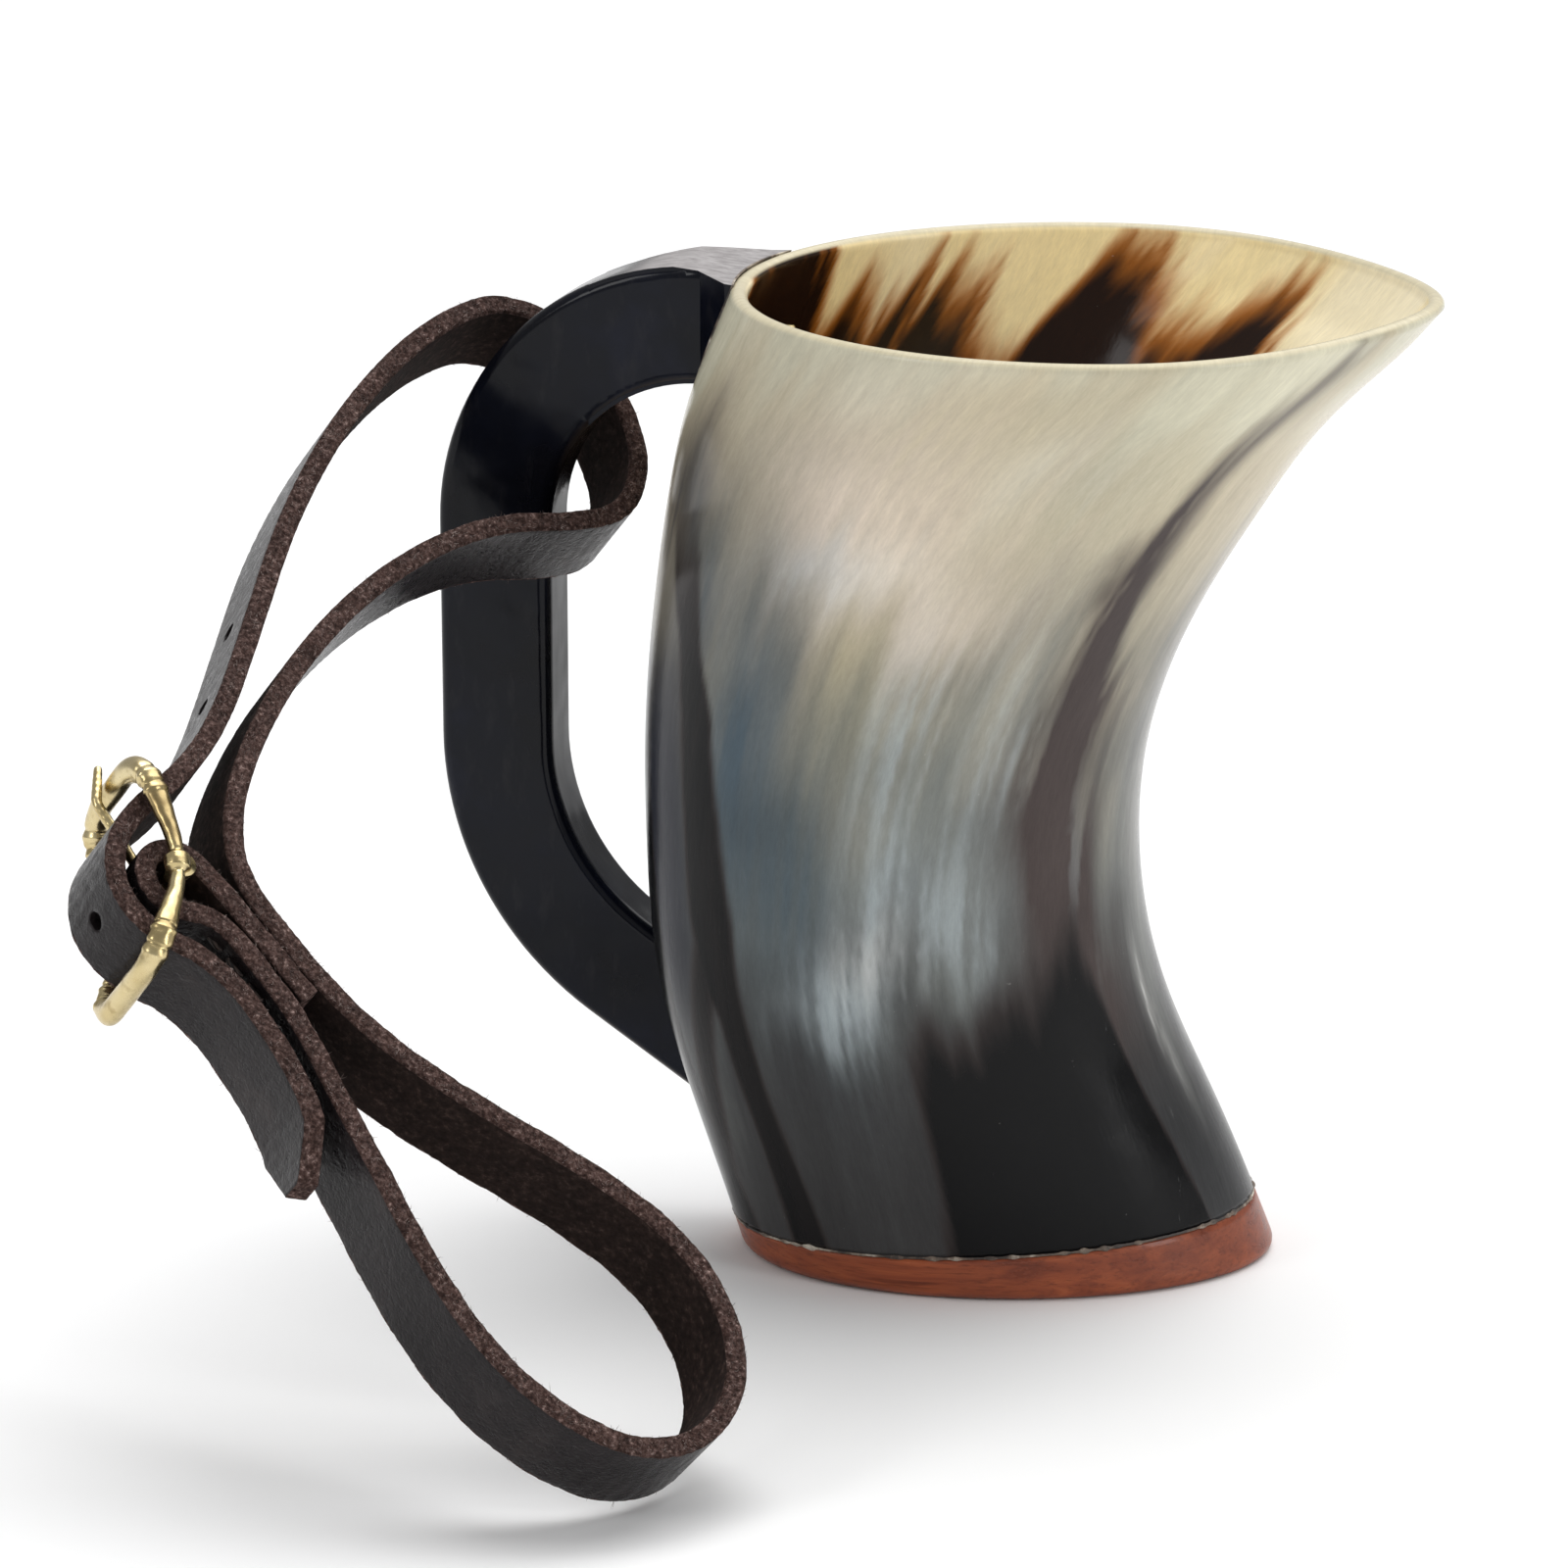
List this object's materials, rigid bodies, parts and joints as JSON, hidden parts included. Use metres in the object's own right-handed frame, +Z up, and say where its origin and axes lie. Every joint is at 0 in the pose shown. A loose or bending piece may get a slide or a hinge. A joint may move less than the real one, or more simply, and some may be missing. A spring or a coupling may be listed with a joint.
{
  "type": "horn drinking tankard",
  "caption": "Oval horn tankard on a wooden foot, with a C-shaped horn handle and a buckled leather belt strap looped round the handle.",
  "frame": {"origin": "centre of the wooden foot's underside", "axes": "+Z up through the cup, the handle towards -X, the pointed spout roughly towards +X"},
  "size_m": [0.1651, 0.1723, 0.144],
  "materials": {
    "polished_horn": "polished cow horn, cream to grey and black",
    "black_horn": "polished black horn",
    "wood": "oiled reddish hardwood",
    "glue": "cured adhesive",
    "sealing_resin": "clear amber resin",
    "brass": "cast and worn brass",
    "leather": "smooth grain side, suede flesh side",
    "thread": "waxed thread"
  },
  "bodies": {
    "mug": {"horn_body": "polished_horn", "base_plug": "wood", "base_glue_line": "glue", "floor_seal": "sealing_resin", "handle_bow": "black_horn", "handle_top_glue": "glue", "handle_foot_glue": "glue", "handle_top_pin": "brass", "handle_foot_pin": "brass"},
    "strap": {"strap": "leather", "strap_stitches": "thread"},
    "buckle": {"buckle_frame": "brass"},
    "tongue": {"buckle_tongue": "brass"}
  },
  "joints": [
    {"name": "strap_lift", "type": "hinge", "parent": "mug", "child": "strap", "pos_m": [-0.043, 0, 0.104], "axis": [0, 1, 0], "range_deg": [0, 16]},
    {"name": "buckle_tilt", "type": "hinge", "parent": "strap", "child": "buckle", "pos_m": [-0.08917, -0.10009, 0.07562], "axis": [0.59, -0.397, 0.703], "range_deg": [-2, 1]},
    {"name": "tongue_tilt", "type": "hinge", "parent": "buckle", "child": "tongue", "pos_m": [-0.08917, -0.10009, 0.07562], "axis": [0.59, -0.397, 0.703], "range_deg": [0, 3]}
  ]
}
